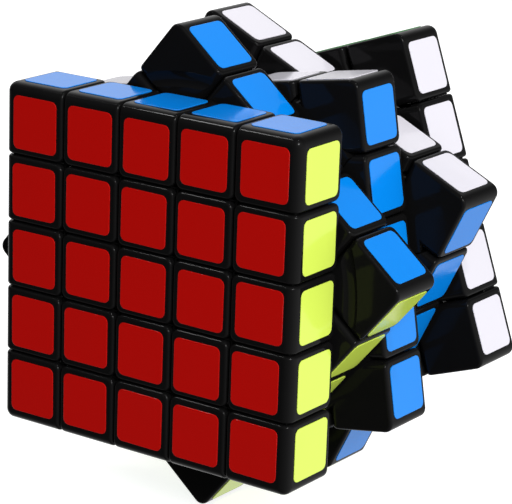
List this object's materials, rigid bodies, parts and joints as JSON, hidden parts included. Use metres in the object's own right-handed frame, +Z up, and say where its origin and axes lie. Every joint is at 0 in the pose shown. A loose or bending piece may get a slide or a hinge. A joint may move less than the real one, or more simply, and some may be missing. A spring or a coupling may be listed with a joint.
{
  "type": "twisty puzzle cube",
  "caption": "Twisty puzzle cube of glossy black cubies with coloured square stickers, whose layers turn about a shared axis and are stored part-turned.",
  "frame": {"origin": "centre of the ball in the middle of the cube, where the six screw axes meet", "axes": "-Y out of the front layer's main face, +Z up, +X right as seen from the front; the stored layers are turned about Y"},
  "size_m": [0.0876, 0.0634, 0.0876],
  "materials": {
    "black_plastic": "polished injection-moulded ABS",
    "core_plastic": "plain moulded nylon",
    "steel": "zinc-plated steel",
    "sticker_red": "smooth vinyl",
    "sticker_orange": "smooth vinyl",
    "sticker_blue": "smooth vinyl",
    "sticker_yellow": "smooth fluorescent vinyl",
    "sticker_green": "smooth vinyl",
    "sticker_white": "smooth vinyl"
  },
  "bodies": {
    "front_layer": {"front_centre_cover": "black_plastic", "front_corner_bottom_left": "black_plastic", "front_corner_bottom_right": "black_plastic", "front_corner_top_left": "black_plastic", "front_corner_top_right": "black_plastic", "front_fixed_centre": "black_plastic", "front_mid_edges": "black_plastic", "front_stickers_blue": "sticker_blue", "front_stickers_green": "sticker_green", "front_stickers_red": "sticker_red", "front_stickers_white": "sticker_white", "front_stickers_yellow": "sticker_yellow", "front_t_centres": "black_plastic", "front_wing_edges": "black_plastic", "front_x_centres": "black_plastic"},
    "inner_front_layer": {"inner_front_stickers_blue": "sticker_blue", "inner_front_stickers_green": "sticker_green", "inner_front_stickers_white": "sticker_white", "inner_front_stickers_yellow": "sticker_yellow", "inner_front_t_centres": "black_plastic", "inner_front_wing_edges": "black_plastic", "inner_front_x_centres": "black_plastic"},
    "middle_layer": {"ball_shell_back": "black_plastic", "ball_shell_front": "black_plastic", "core_spider": "core_plastic", "middle_centre_covers": "black_plastic", "middle_fixed_centres": "black_plastic", "middle_mid_edges": "black_plastic", "middle_stickers_blue": "sticker_blue", "middle_stickers_green": "sticker_green", "middle_stickers_white": "sticker_white", "middle_stickers_yellow": "sticker_yellow", "middle_t_centres": "black_plastic", "screws": "steel", "springs": "steel", "washers": "steel"},
    "inner_back_layer": {"inner_back_stickers_blue": "sticker_blue", "inner_back_stickers_green": "sticker_green", "inner_back_stickers_white": "sticker_white", "inner_back_stickers_yellow": "sticker_yellow", "inner_back_t_centres": "black_plastic", "inner_back_wing_edges": "black_plastic", "inner_back_x_centres": "black_plastic"},
    "back_layer": {"back_centre_cover": "black_plastic", "back_corner_bottom_left": "black_plastic", "back_corner_bottom_right": "black_plastic", "back_corner_top_left": "black_plastic", "back_corner_top_right": "black_plastic", "back_fixed_centre": "black_plastic", "back_mid_edges": "black_plastic", "back_stickers_blue": "sticker_blue", "back_stickers_green": "sticker_green", "back_stickers_orange": "sticker_orange", "back_stickers_white": "sticker_white", "back_stickers_yellow": "sticker_yellow", "back_t_centres": "black_plastic", "back_wing_edges": "black_plastic", "back_x_centres": "black_plastic"}
  },
  "joints": [
    {"name": "front_layer_turn", "type": "hinge", "parent": "middle_layer", "child": "front_layer", "pos_m": [0, 0, 0], "axis": [0, 1, 0], "continuous": true},
    {"name": "inner_front_layer_turn", "type": "hinge", "parent": "middle_layer", "child": "inner_front_layer", "pos_m": [0, 0, 0], "axis": [0, 1, 0], "continuous": true},
    {"name": "inner_back_layer_turn", "type": "hinge", "parent": "middle_layer", "child": "inner_back_layer", "pos_m": [0, 0, 0], "axis": [0, 1, 0], "continuous": true},
    {"name": "back_layer_turn", "type": "hinge", "parent": "middle_layer", "child": "back_layer", "pos_m": [0, 0, 0], "axis": [0, 1, 0], "continuous": true}
  ]
}
